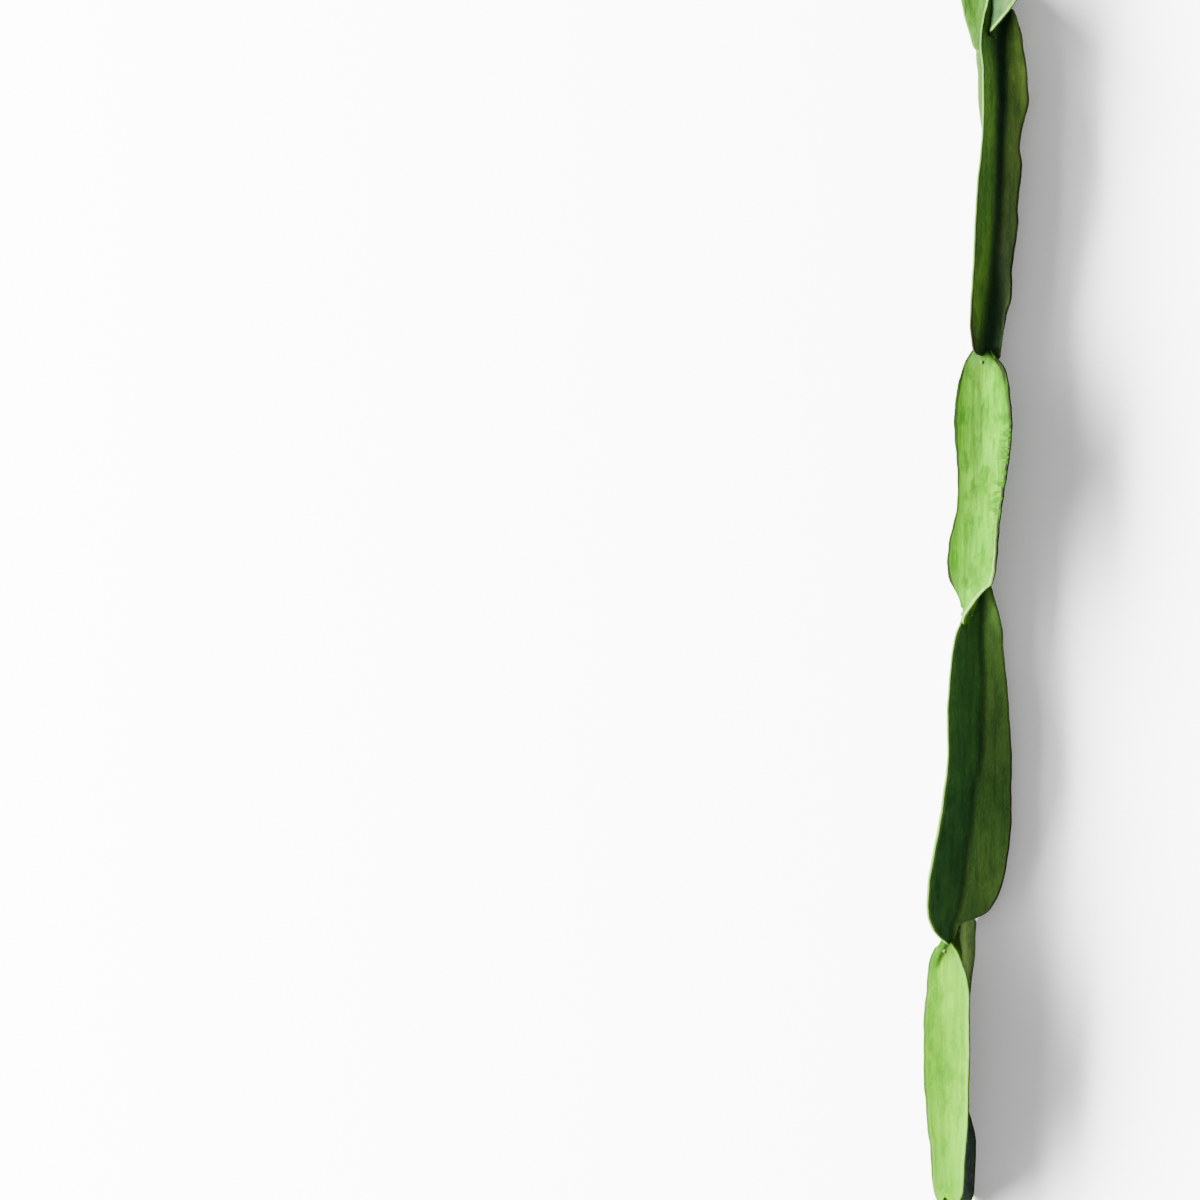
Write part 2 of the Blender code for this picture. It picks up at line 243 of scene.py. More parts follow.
def grow_segment(name, first, last, foot, groove, core_line, wings):
    """Shapes one segment from a cylinder, whose rings become three-winged sections.

    core_line gives the core's radius, foot the height and side step of the curve at a wing's
    foot, and groove the half width, side shift and darkness of a dark line of painted
    shade down a valley. The lines of a wing have these values after the station, in millimetres
    and degrees:
    turn    angle round the stem, from +X up towards +Z
    edge    height of the margin over the centre line
    thick   radius of the rounded margin
    rim     how brown and how pale the margin is, partly painted rim shade and painted highlight
    tone_and_painted_light  multiplies the skin's red, green and blue: tone, painted light, painted
    shade groove  its own dark line of painted shade, in the valley between it and the next wing
    wave is the size, length and phase of the margin's sway, and ripple the size of its notches.
    """
    rings = int((last - first) / RING_STEP)
    stations = first + (last - first) * np.arange(rings + 1) / rings
    centre = smooth_line(CENTRE_LINE, stations)
    core = smooth_line(core_line, stations)
    grid, edge_way, groove_dark, painted = shape_sections(
        wings, stations, core, centre[:, 1:], foot, groove)
    sides = grid.shape[1]
    segment = ringed_cylinder(name, rings, sides)
    mesh = segment.data
    place = np.zeros(len(mesh.vertices) * 3)
    mesh.vertices.foreach_get("co", place)
    place = place.reshape(-1, 3)
    ring_of = np.rint((1 - place[:, 2]) / 2 * rings).astype(int)
    turn = np.arctan2(place[:, 1], place[:, 0])
    side_of = np.rint(turn / (2 * math.pi) * sides).astype(int) % sides
    section = grid[ring_of, side_of]
    spot = np.empty_like(place)
    spot[:, 0] = (centre[ring_of, 0] + STRAND_SHIFT + section[:, 0]) * MM
    spot[:, 1] = (UPPER_CUT_Y - stations[ring_of]) * MM
    spot[:, 2] = np.maximum(centre[ring_of, 1] + section[:, 1], 0.0) * MM
    mesh.vertices.foreach_set("co", spot.ravel())
    # These layers carry painted light besides the skin's own colour: the valley line is painted
    # shade, the brown edge partly painted rim shade, the pale margin partly a painted highlight, and
    # the colour multipliers partly painted light and shade.
    for label, value in (("along", stations[ring_of]), ("from_edge", edge_way[ring_of, side_of]),
                         ("groove", groove_dark[ring_of, side_of]),
                         ("brown_and_rim_shade", painted[ring_of, side_of, 0]),
                         ("pale_and_highlight", painted[ring_of, side_of, 1])):
        layer = mesh.attributes.new(label, "FLOAT", "POINT")
        layer.data.foreach_set("value", value.astype(np.float32))
    tone_and_painted_light = np.ones((len(ring_of), 4), dtype=np.float32)
    tone_and_painted_light[:, :3] = painted[ring_of, side_of, 2:]
    mesh.attributes.new("wing_tone_and_painted_light", "FLOAT_COLOR", "POINT").data.foreach_set("color", tone_and_painted_light.ravel())
    mesh.update()
    bpy.ops.object.mode_set(mode="EDIT")
    bpy.ops.mesh.select_all(action="SELECT")
    bpy.ops.mesh.normals_make_consistent(inside=False)
    bpy.ops.object.mode_set(mode="OBJECT")
    bpy.ops.object.shade_smooth_by_angle(angle=math.radians(50))
    return segment


# Pale margin colour, partly a painted highlight on lit rims.
PALE_RIM_AND_HIGHLIGHT = (0.050, 0.102, 0.018)
# Brown edge for the segments whose faces catch the light, partly painted shade on rims turned from
# the light; a lighter copy for the segments in shade is set with segment 2.
EDGE_BROWN_IN_LIGHT = (0.0038, 0.0062, 0.0022)


def flesh_material(name, pale, middle, deep, edge, streaks, mottle, shade,
                   wrinkle_range=(0.0, 0.0), groove_green=(0.003, 0.011, 0.005)):
    """Waxy green skin: mottled, streaked lengthways, with a pale margin and a thin brown edge.

    Light and shade are painted into it too: the pale margin is partly a painted highlight and the
    brown edge partly painted shade on rims turned from the light; the shade argument sets how far
    painted shade darkens the margins; the dark valley lines and the wrinkles' dark creases are
    painted shade; and each wing's colour multipliers add painted light and shade to its tone.
    wrinkle_range holds the stations between which the right-hand margin is finely wrinkled.
    """
    material = bpy.data.materials.new(name)
    material.use_nodes = True
    nodes, links = material.node_tree.nodes, material.node_tree.links
    skin = nodes["Principled BSDF"]

    def node(kind, **settings):
        made = nodes.new(kind)
        for key, value in settings.items():
            setattr(made, key, value)
        return made

    def noise(scale, stretch=(1, 1, 1), detail=3.0, rough=0.5):
        mapping = node("ShaderNodeMapping")
        mapping.inputs["Scale"].default_value = stretch
        links.new(coords.outputs["Object"], mapping.inputs["Vector"])
        texture = node("ShaderNodeTexNoise")
        texture.inputs["Scale"].default_value = scale
        texture.inputs["Detail"].default_value = detail
        texture.inputs["Roughness"].default_value = rough
        links.new(mapping.outputs["Vector"], texture.inputs["Vector"])
        return texture.outputs["Fac"]

    def spread(value, low, high, to_low=0.0, to_high=1.0):
        ramp = node("ShaderNodeMapRange", interpolation_type="SMOOTHSTEP")
        ramp.inputs["From Min"].default_value = low
        ramp.inputs["From Max"].default_value = high
        ramp.inputs["To Min"].default_value = to_low
        ramp.inputs["To Max"].default_value = to_high
        links.new(value, ramp.inputs["Value"])
        return ramp.outputs["Result"]

    def maths(operation, a, b):
        made = node("ShaderNodeMath", operation=operation)
        for socket, value in zip(made.inputs, (a, b)):
            if isinstance(value, (int, float)):
                socket.default_value = value
            else:
                links.new(value, socket)
        return made.outputs["Value"]

    def blend(factor, a, b):
        mix = node("ShaderNodeMix", data_type="RGBA")
        links.new(factor, mix.inputs["Factor"])
        for socket, value in ((mix.inputs["A"], a), (mix.inputs["B"], b)):
            if isinstance(value, tuple):
                socket.default_value = (*value, 1.0)
            else:
                links.new(value, socket)
        return mix.outputs["Result"]

    def painted(label):
        return node("ShaderNodeAttribute", attribute_name=label).outputs["Fac"]

    coords = node("ShaderNodeTexCoord")
    along = painted("along")
    from_edge = painted("from_edge")

    clouds = noise(110, (1, 0.5, 1), 4.0)
    drift = noise(330, (1, 0.5, 1), 4.0, 0.6)
    lengthways = noise(760, (1, 0.08, 1), 3.0)
    grain = noise(3200, (1, 0.6, 1), 3.0)
    colour = blend(spread(clouds, 0.36, 0.64), middle, pale)
    colour = blend(spread(drift, 0.47, 0.66, 0.0, mottle), colour, deep)
    colour = blend(spread(lengthways, 0.46, 0.62, 0.0, streaks), colour, deep)
    colour = blend(spread(grain, 0.45, 0.8, 0.0, 0.2), colour, pale)
    # Each wing's colour multipliers: partly the wing's own tone, partly painted light and shade that
    # lift faces turned from the light, darken parts lying under others and blue deep shade.
    tone_and_painted_light = node("ShaderNodeMix", data_type="RGBA", blend_type="MULTIPLY")
    tone_and_painted_light.inputs["Factor"].default_value = 1.0
    links.new(colour, tone_and_painted_light.inputs["A"])
    links.new(node("ShaderNodeAttribute", attribute_name="wing_tone_and_painted_light").outputs["Color"],
              tone_and_painted_light.inputs["B"])
    colour = tone_and_painted_light.outputs["Result"]
    # Darker towards the margins: painted shade where a margin turns from the light, less where the
    # margin is painted pale.
    shaded = maths("MULTIPLY", spread(from_edge, 2.9, 0.7),
                   maths("SUBTRACT", shade, painted("pale_and_highlight")))
    colour = blend(shaded, colour, deep)
    # The pale margin: partly the margin's own paler green, partly a painted highlight where the rim
    # catches the light.
    margin = maths("MULTIPLY", spread(from_edge, 1.5, 0.8), spread(drift, 0.25, 0.6, 0.55, 1.0))
    colour = blend(maths("MULTIPLY", margin, painted("pale_and_highlight")), colour, PALE_RIM_AND_HIGHLIGHT)
    # The dark line down each valley is painted shade.
    colour = blend(painted("groove"), colour, groove_green)
    # The thin brown edge: partly the margin's own brown, partly painted shade on rims that turn from
    # the light.
    brown_and_rim_shade = painted("brown_and_rim_shade")
    brown = spread(maths("DIVIDE", from_edge, maths("MAXIMUM", brown_and_rim_shade, 1.0)), 0.95, 0.6)
    brown = maths("MULTIPLY", brown, spread(lengthways, 0.3, 0.5, 0.6, 1.0))
    colour = blend(maths("MULTIPLY", brown, maths("MINIMUM", brown_and_rim_shade, 1.0)), colour, edge)
    across = node("ShaderNodeSeparateXYZ")
    links.new(coords.outputs["Object"], across.inputs["Vector"])
    wrinkled_from, wrinkled_to = wrinkle_range
    band = maths("MULTIPLY", spread(along, wrinkled_from - 4, wrinkled_from + 2),
                 spread(along, wrinkled_to + 4, wrinkled_to - 2))
    band = maths("MULTIPLY", band, spread(across.outputs["X"], 1.0 * MM, 3.0 * MM))
    creases = spread(noise(950, (0.3, 1, 0.3), 2.0), 0.48, 0.56)
    wrinkles = maths("MULTIPLY", maths("MULTIPLY", creases, band), spread(from_edge, 4.5, 1.2))
    # The wrinkles' creases are painted darker, as shade; the bump below also presses them in.
    colour = blend(maths("MULTIPLY", wrinkles, 0.95), colour, deep)
    links.new(colour, skin.inputs["Base Color"])

    links.new(spread(drift, 0.3, 0.7, 0.5, 0.66), skin.inputs["Roughness"])
    skin.inputs["Specular IOR Level"].default_value = 0.015
    skin.inputs["Specular Tint"].default_value = (0.9, 1.0, 0.3, 1)
    skin.inputs["Subsurface Weight"].default_value = 0.08
    skin.inputs["Subsurface Radius"].default_value = (0.8, 1.0, 0.5)
    skin.inputs["Subsurface Scale"].default_value = 0.5 * MM

    relief = maths("ADD", drift, maths("MULTIPLY", lengthways, 0.6))
    relief = maths("ADD", relief, maths("MULTIPLY", grain, 0.12))
    relief = maths("SUBTRACT", relief, maths("MULTIPLY", wrinkles, 0.4))
    bump = node("ShaderNodeBump")
    bump.inputs["Strength"].default_value = 0.6
    bump.inputs["Distance"].default_value = 0.4 * MM
    links.new(relief, bump.inputs["Height"])
    links.new(bump.outputs["Normal"], skin.inputs["Normal"])
    return material


def cut_material(name, station):
    """Inside of the stem where it was cut: pale wet flesh, with a ring of fibres round the pith."""
    material = bpy.data.materials.new(name)
    material.use_nodes = True
    nodes, links = material.node_tree.nodes, material.node_tree.links
    flesh = nodes["Principled BSDF"]
    centre = smooth_line(CENTRE_LINE, np.array([station]))[0] * MM
    coords = nodes.new("ShaderNodeTexCoord")
    from_centre = nodes.new("ShaderNodeMapping")
    from_centre.inputs["Location"].default_value = (-centre[0] - STRAND_SHIFT * MM, 0, -centre[1])
    from_centre.inputs["Scale"].default_value = (1, 0, 1)
    links.new(coords.outputs["Object"], from_centre.inputs["Vector"])
    distance = nodes.new("ShaderNodeVectorMath")
    distance.operation = "LENGTH"
    links.new(from_centre.outputs["Vector"], distance.inputs[0])
    cells = nodes.new("ShaderNodeTexNoise")
    cells.inputs["Scale"].default_value = 2600
    links.new(coords.outputs["Object"], cells.inputs["Vector"])
    wander = nodes.new("ShaderNodeMath")
    wander.operation = "MULTIPLY_ADD"
    wander.inputs[1].default_value = 0.5 * MM
    links.new(cells.outputs["Fac"], wander.inputs[0])
    links.new(distance.outputs["Value"], wander.inputs[2])
    rings = nodes.new("ShaderNodeValToRGB")
    reach = nodes.new("ShaderNodeMapRange")
    reach.inputs["From Max"].default_value = 4 * MM
    links.new(wander.outputs["Value"], reach.inputs["Value"])
    links.new(reach.outputs["Result"], rings.inputs["Fac"])
    rings.color_ramp.elements[0].color = (0.075, 0.105, 0.034, 1)
    rings.color_ramp.elements[1].color = (0.022, 0.048, 0.009, 1)
    for place, colour in ((0.24, (0.080, 0.105, 0.038, 1)), (0.31, (0.030, 0.045, 0.013, 1)),
                          (0.38, (0.050, 0.088, 0.020, 1))):
        rings.color_ramp.elements.new(place).color = colour
    links.new(rings.outputs["Color"], flesh.inputs["Base Color"])
    flesh.inputs["Roughness"].default_value = 0.32
    flesh.inputs["Subsurface Weight"].default_value = 0.2
    flesh.inputs["Subsurface Scale"].default_value = 0.8 * MM
    bump = nodes.new("ShaderNodeBump")
    bump.inputs["Strength"].default_value = 0.5
    bump.inputs["Distance"].default_value = 0.15 * MM
    links.new(cells.outputs["Fac"], bump.inputs["Height"])
    links.new(bump.outputs["Normal"], flesh.inputs["Normal"])
    return material


CUT_RIM = 0.16


def cut_across(segment, station, material):
    """Sinks the cut end a little inside its rim of skin and bares the flesh."""
    segment.data.materials.append(material)
    bpy.ops.object.select_all(action="DESELECT")
    bpy.context.view_layer.objects.active = segment
    segment.select_set(True)
    bpy.ops.object.mode_set(mode="EDIT")
    bpy.ops.mesh.select_mode(type="FACE")
    bpy.ops.mesh.select_all(action="DESELECT")
    bpy.ops.object.mode_set(mode="OBJECT")
    cut_y = (UPPER_CUT_Y - station) * MM
    for face in segment.data.polygons:
        face.select = len(face.vertices) > 4 and abs(face.center.y - cut_y) < RING_STEP * MM / 2
    bpy.ops.object.mode_set(mode="EDIT")
    bpy.ops.mesh.inset(thickness=CUT_RIM * MM, depth=-CUT_RIM * MM)
    segment.active_material_index = 1
    bpy.ops.object.material_slot_assign()
    bpy.ops.object.mode_set(mode="OBJECT")


# The right-hand wing's tint darkens and blues it, and the left-hand wing's tint blues it, as painted
# shade on the face between them; the dark valley lines are painted shade.
segment_1 = grow_segment(
    "segment_1_flesh", 0.0, 27.5, foot=SHARP_FOOT, groove=(2.4, 0.0, 0.8),
    core_line=((0.0, 2.15), (19.0, 2.15), (27.5, 1.2)),
    wings=(
        # Right-hand wing, which turns upwards where it ends.
        {"turn": ((0.0, 38), (12.0, 38), (13.0, 40), (14.3, 43), (15.5, 49), (16.8, 57),
                  (18.0, 66), (19.3, 77), (20.5, 86), (22.0, 90)),
         "edge": ((0.0, 8.2), (6.0, 8.3), (12.0, 7.9), (13.0, 7.6), (14.3, 6.7), (15.5, 6.1),
                  (16.8, 5.5), (18.0, 4.9), (19.3, 4.2), (20.5, 3.2), (21.5, 2.0)),
         "wave": (0.12, 19, 0.4),
         "rim": ((0.0, 0.3, 0.8), (22.0, 0.0, 1.0)),
         "tone_and_painted_light": ((0.0, 0.75, 0.56, 2.8), (13.0, 0.62, 0.47, 2.3), (16.0, 0.5, 0.38, 2.0),
                  (22.0, 0.55, 0.42, 2.2)),
         "groove": ((0.0, 2.2, 0.6, 0.55), (12.0, 2.0, 0.2, 0.6), (15.5, 1.3, 0.6, 0.35),
                    (18.0, 1.0, 1.0, 0.2), (27.0, 1.0, 1.0, 0.2))},
        # Left-hand wing.
        {"turn": steady(168),
         "edge": ((0.0, 8.6), (8.0, 8.0), (12.0, 7.8), (17.2, 6.5), (20.5, 5.1), (23.5, 4.2),
                  (24.6, 3.6), (25.3, 2.6), (26.2, 2.0)),
         "wave": (0.2, 21, 1.0),
         "rim": steady(0.2, 0.3),
         "tone_and_painted_light": steady(1.1, 1.0, 2.2)},
        # Lower wing.
        {"turn": steady(285),
         "edge": ((0.0, 7.0), (8.0, 8.2), (20.5, 8.0), (22.5, 6.6), (24.2, 3.6), (25.0, 2.0)),
         "wave": (0.2, 23, 2.0),
         "rim": steady(1.0, 0.0)},
    ),
)
segment_1.data.materials.append(flesh_material(
    "segment_1_skin",
    pale=(0.034, 0.095, 0.004), middle=(0.022, 0.068, 0.004), deep=(0.009, 0.036, 0.003),
    edge=EDGE_BROWN_IN_LIGHT, streaks=0.5, mottle=0.5, shade=0.3))
cut_across(segment_1, 0.0, cut_material("upper_cut_flesh", 0.0))
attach(segment_1, "root")
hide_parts("stem_segment_1")


# Segment 2 is a long grown segment. Its wings begin in the grooves of segment 1, between the
# lobes that end there, and its right-hand margin bulges near the top.
# A lighter copy of the brown edge, for the segments whose faces lie in shade: painted light.
EDGE_BROWN_LIFTED_IN_SHADE = (0.014, 0.012, 0.007)
# Its face is turned from the light. Its skin is brighter and bluer than that of segments 3 and 5,
# and its right-hand wing's tint lifts that wing further, as painted light in the shade; its lower
# wing's tint darkens that wing, and its dark valley lines are painted shade.
segment_2 = grow_segment(
    "segment_2_flesh", 7.0, 104.5, foot=SHARP_FOOT, groove=(2.9, 0.0, 0.95),
    core_line=((7.0, 1.3), (22.0, 1.6), (28.0, 2.15), (94.0, 2.15), (104.5, 1.2)),
    wings=(
        # Right-hand wing.
        {"turn": ((12.4, -8), (103.0, 8)),
         "edge": ((12.4, 2.0), (13.4, 3.8), (14.2, 5.8), (15.4, 6.5), (17.5, 7.3), (20.0, 8.3),
                  (24.0, 8.8), (28.0, 8.5), (33.0, 8.0), (37.0, 8.0), (39.5, 7.6), (41.5, 6.9),
                  (49.0, 5.5), (53.5, 6.0), (58.0, 5.5), (64.0, 4.9), (68.0, 5.2), (74.5, 4.8),
                  (78.5, 4.6), (86.0, 5.3), (91.0, 4.4), (96.0, 3.9), (99.0, 3.65), (101.2, 3.5),
                  (102.5, 2.6), (103.5, 2.0)),
         "wave": (0.25, 27, 0.3),
         "rim": ((12.0, 0.7, 0.6), (104.0, 1.0, 0.5)),
         "tone_and_painted_light": ((12.0, 2.9, 2.0, 3.4), (45.0, 2.3, 1.5, 3.0), (75.0, 1.4, 0.9, 3.0),
                  (95.0, 0.9, 0.6, 2.4), (104.0, 0.9, 0.6, 2.4)),
         "groove": ((12.0, 3.0, -4.0, 1.0), (15.5, 3.6, -3.4, 1.0), (18.0, 4.4, -2.7, 1.0),
                    (21.0, 4.5, -2.0, 1.0), (25.0, 4.3, -1.5, 1.0), (32.0, 3.7, -0.2, 1.0),
                    (45.0, 3.1, 0.3, 1.0), (75.0, 3.1, 0.6, 0.9), (90.0, 4.2, -0.2, 0.9),
                    (104.0, 5.5, 0.2, 1.0))},
        # Upper wing, which leans to the left.
        {"turn": ((7.0, 108), (12.0, 112), (16.2, 121), (20.0, 120), (24.5, 118), (30.0, 119),
                  (37.0, 121), (42.0, 124), (47.0, 126), (53.0, 128), (60.0, 131), (68.0, 133),
                  (82.0, 135.5), (103.0, 136)),
         "edge": ((7.0, 2.0), (9.0, 2.2), (12.0, 2.6), (16.2, 3.6), (20.0, 4.6), (25.0, 5.7),
                  (31.0, 6.9), (37.0, 7.5), (43.0, 7.5), (50.0, 8.0), (59.0, 8.9), (64.0, 9.0),
                  (74.5, 8.3), (86.0, 7.5), (93.0, 6.8), (97.5, 5.8), (99.8, 4.9), (100.8, 3.6),
                  (101.5, 2.0)),
         "wave": (0.1, 33, 1.3),
         "rim": ((7.0, 0.3, 0.2), (22.0, 0.3, 0.0), (40.0, 0.1, 0.4), (60.0, 0.4, 0.4),
                 (86.0, 0.5, 0.4), (94.0, 1.0, 0.0), (104.0, 1.0, 0.0)),
         "tone_and_painted_light": ((7.0, 1.5, 1.3, 2.4), (18.0, 1.1, 1.0, 1.5), (45.0, 0.95, 0.92, 1.1),
                  (92.0, 1.0, 0.95, 1.1), (98.0, 0.8, 0.7, 1.3), (104.0, 0.8, 0.7, 1.3))},
        # Lower wing.
        {"turn": ((18.0, 243), (30.0, 240), (36.0, 240), (42.0, 243), (46.0, 249), (52.0, 254),
                  (60.0, 257), (103.0, 262)),
         "edge": ((19.5, 2.0), (20.5, 3.6), (22.5, 5.4), (25.0, 6.4), (27.5, 7.0), (31.0, 7.6),
                  (38.0, 8.6), (60.0, 9.0), (98.0, 9.0), (100.4, 8.0), (101.6, 6.2), (102.4, 3.4),
                  (103.0, 2.0)),
         "wave": (0.1, 29, 2.3),
         "rim": ((21.5, 0.3, 0.0), (104.0, 1.0, 0.0)),
         "tone_and_painted_light": steady(0.24, 0.2, 0.2)},
    ),
)
segment_2.data.materials.append(flesh_material(
    "segment_2_skin",
    pale=(0.052, 0.128, 0.012), middle=(0.036, 0.100, 0.010), deep=(0.015, 0.054, 0.007),
    edge=EDGE_BROWN_LIFTED_IN_SHADE, streaks=0.5, mottle=0.35, shade=0.3))
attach(segment_2, "root")
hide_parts("stem_segment_2")


# Segment 3 is a broader segment with a shallow valley down its face, which catches the light.
# The skin is finely wrinkled along the right-hand margin, which curls over to the left at its
# lower end. Its wings' tints darken and blue them at the neck, where the end of segment 2
# overlaps them, as painted shade.
BROAD_FOOT = (2.3, 1.5)
segment_3 = grow_segment(
    "segment_3_flesh", 95.0, 170.2, foot=BROAD_FOOT, groove=(1.2, 0.0, 0.12),
    core_line=((95.0, 1.2), (101.0, 1.6), (106.0, 2.15), (158.0, 2.15), (170.2, 1.0)),
    wings=(
        # Right-hand wing, which curls over to the left where it ends.
        {"turn": ((99.6, 42), (150.0, 51), (157.8, 54), (159.3, 60), (160.5, 64), (162.5, 76),
                  (164.5, 93), (166.2, 112), (168.0, 122)),
         "edge": ((99.6, 2.0), (101.0, 2.8), (102.3, 4.4), (103.8, 5.7), (107.0, 7.1),
                  (112.0, 8.1), (119.0, 9.2), (124.0, 9.4), (129.0, 8.8), (135.0, 8.0),
                  (141.0, 8.0), (147.0, 8.5), (152.0, 9.1), (155.0, 9.1), (157.8, 8.6),
                  (159.3, 7.0), (160.5, 5.7), (162.5, 4.5), (164.5, 3.9), (166.2, 3.5),
                  (167.5, 3.2), (168.8, 2.5), (169.6, 2.0)),
         "wave": (0.2, 24, 0.7),
         "ripple": 0.07,
         "rim": ((99.0, 1.9, 0.0), (108.0, 1.6, 0.0), (120.0, 1.3, 0.1), (148.0, 1.1, 0.6),
                 (157.0, 0.6, 1.0), (159.5, 0.0, 1.0), (170.0, 0.0, 1.0)),
         "tone_and_painted_light": ((95.0, 0.25, 0.2, 2.0), (100.0, 0.35, 0.28, 2.5), (102.2, 1.1, 0.9, 3.5),
                  (104.5, 1.2, 1.2, 1.5), (108.0, 1.35, 1.5, 0.4), (118.0, 1.2, 1.35, 0.3),
                  (134.0, 1.15, 1.2, 0.4), (170.0, 1.1, 1.2, 0.4))},
        # Left-hand wing.
        {"turn": ((98.4, 170), (166.0, 180)),
         "edge": ((98.2, 2.2), (99.4, 3.6), (100.8, 4.6), (104.0, 6.0), (110.0, 7.4), (116.5, 7.8),
                  (121.0, 7.5), (126.0, 6.7), (132.0, 6.0), (139.0, 5.7), (143.0, 6.1),
                  (148.0, 6.6), (152.0, 6.5), (154.0, 6.2), (156.5, 5.5), (158.8, 4.2),
                  (160.8, 2.9), (162.5, 2.2), (164.0, 2.0)),
         "wave": (0.2, 26, 1.9),
         "rim": ((98.0, 1.1, 0.1), (118.0, 1.4, 0.1), (130.0, 0.9, 0.1), (150.0, 0.9, 0.1),
                 (157.0, 1.3, 0.1), (166.0, 1.3, 0.1)),
         "tone_and_painted_light": ((99.0, 0.9, 0.68, 4.0), (102.0, 1.1, 0.86, 4.0), (105.0, 1.08, 0.93, 2.0),
                  (112.0, 1.0, 0.9, 2.0), (131.0, 0.8, 0.76, 1.2), (150.0, 0.85, 0.9, 0.8),
                  (158.0, 0.6, 0.65, 0.7), (166.0, 0.6, 0.65, 0.7))},
        # Lower wing.
        {"turn": ((99.5, 288), (166.0, 297)),
         "edge": ((96.4, 2.0), (97.4, 4.4), (98.8, 7.0), (100.5, 8.0), (112.0, 8.6), (161.0, 8.6),
                  (163.4, 8.0), (164.6, 5.6), (165.4, 2.0)),
         "wave": (0.2, 28, 2.8),
         "rim": steady(1.0, 0.0)},
    ),
)
segment_3.data.materials.append(flesh_material(
    "segment_3_skin",
    pale=(0.0225, 0.076, 0.0015), middle=(0.0145, 0.055, 0.0012), deep=(0.0055, 0.027, 0.001),
    edge=EDGE_BROWN_IN_LIGHT, streaks=0.5, mottle=0.8, shade=0.8, wrinkle_range=(119.0, 141.0)))
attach(segment_3, "root")
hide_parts("stem_segment_3")


# Segment 4 is the longest, with its face turned from the light, and widens towards its lower
# end, where its wings end in broad round lobes. Its skin is bluer than that of segments 3 and
# 5, as painted shade, and its right-hand wing's tint lifts that shaded wing, as painted light.
segment_4 = grow_segment(
    "segment_4_flesh", 152.0, 251.5, foot=SHARP_FOOT, groove=(1.7, 0.0, 0.55),
    core_line=((152.0, 1.2), (164.0, 1.6), (170.0, 2.15), (241.0, 2.15), (248.5, 1.4),
               (251.5, 1.0)),
    wings=(
        # Right-hand wing.
        {"turn": ((153.8, 0), (175.0, -12), (245.0, -14)),
         "edge": ((153.8, 2.0), (155.0, 3.3), (158.0, 5.2), (161.5, 6.5), (165.5, 7.7),
                  (170.0, 8.6), (182.0, 8.7), (194.0, 9.1), (207.0, 10.0), (219.0, 10.9),
                  (228.0, 11.1), (231.5, 11.1), (235.0, 10.6), (239.5, 9.1), (240.8, 7.7),
                  (241.8, 5.6), (242.3, 4.0), (242.9, 2.5), (243.8, 2.0)),
         "wave": (0.3, 31, 0.2),
         "rim": ((153.0, 0.5, 0.7), (190.0, 0.6, 0.7), (205.0, 0.9, 0.6), (245.0, 1.0, 0.6)),
         "tone_and_painted_light": ((153.0, 3.6, 2.5, 2.6), (170.0, 3.7, 2.55, 2.8), (180.0, 2.5, 1.8, 2.0),
                  (199.0, 1.9, 1.35, 1.6), (212.0, 1.5, 1.17, 1.4), (224.0, 2.2, 1.6, 1.8),
                  (235.0, 2.4, 1.6, 1.9), (245.0, 2.3, 1.55, 1.9)),
         "groove": ((153.0, 1.7, -2.0, 0.6), (174.0, 1.7, -2.0, 0.6), (187.0, 1.7, -1.4, 0.6),
                    (199.0, 1.7, -0.7, 0.6), (212.0, 1.7, 0.9, 0.55), (224.0, 1.7, 0.9, 0.5),
                    (235.0, 1.7, 0.3, 0.5), (245.0, 1.7, 0.0, 0.6))},
        # Upper wing, which leans to the left.
        {"turn": ((161.5, 133), (174.0, 137), (180.0, 138), (196.0, 138), (212.0, 139.5),
                  (232.0, 139), (244.0, 138), (246.5, 130), (248.2, 108), (249.0, 100)),
         "edge": ((164.0, 2.0), (165.2, 2.3), (166.5, 2.7), (168.0, 3.6), (169.5, 4.8),
                  (171.5, 5.9), (175.0, 7.0), (181.0, 8.4), (190.0, 9.6), (202.0, 10.1),
                  (214.0, 10.5), (224.0, 11.4), (231.0, 11.6), (236.0, 11.2), (240.5, 9.9),
                  (244.0, 7.2), (246.5, 4.6), (247.8, 2.8), (248.5, 1.8)),
         "wave": (0.2, 37, 1.1),
         "thick": ((162.0, 0.34), (200.0, 0.36), (216.0, 0.5), (249.0, 0.42)),
         "rim": ((162.0, 0.0, 1.0), (173.0, 0.0, 0.9), (180.0, 0.2, 0.5), (198.0, 0.1, 0.5),
                 (208.0, 0.0, 0.9), (249.0, 0.0, 1.0)),
         "tone_and_painted_light": ((162.0, 1.05, 1.05, 1.1), (185.0, 0.9, 0.95, 1.0), (212.0, 0.62, 0.75, 0.85),
                  (249.0, 0.7, 0.74, 0.95))},
        # Lower wing.
        {"turn": ((158.0, 265), (166.0, 263), (182.0, 249), (250.0, 252)),
         "edge": ((159.2, 2.0), (160.2, 4.8), (161.8, 7.4), (168.0, 8.2), (176.0, 8.8),
                  (200.0, 9.0), (243.0, 8.8), (246.0, 7.0), (248.0, 3.6), (249.5, 2.0)),
         "wave": (0.2, 30, 2.0),
         "rim": steady(1.0, 0.0)},
    ),
)
segment_4.data.materials.append(flesh_material(
    "segment_4_skin",
    pale=(0.026, 0.078, 0.013), middle=(0.018, 0.060, 0.011), deep=(0.009, 0.037, 0.008),
    edge=EDGE_BROWN_LIFTED_IN_SHADE, streaks=0.5, mottle=0.35, shade=0.3))
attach(segment_4, "root")
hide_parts("stem_segment_4")
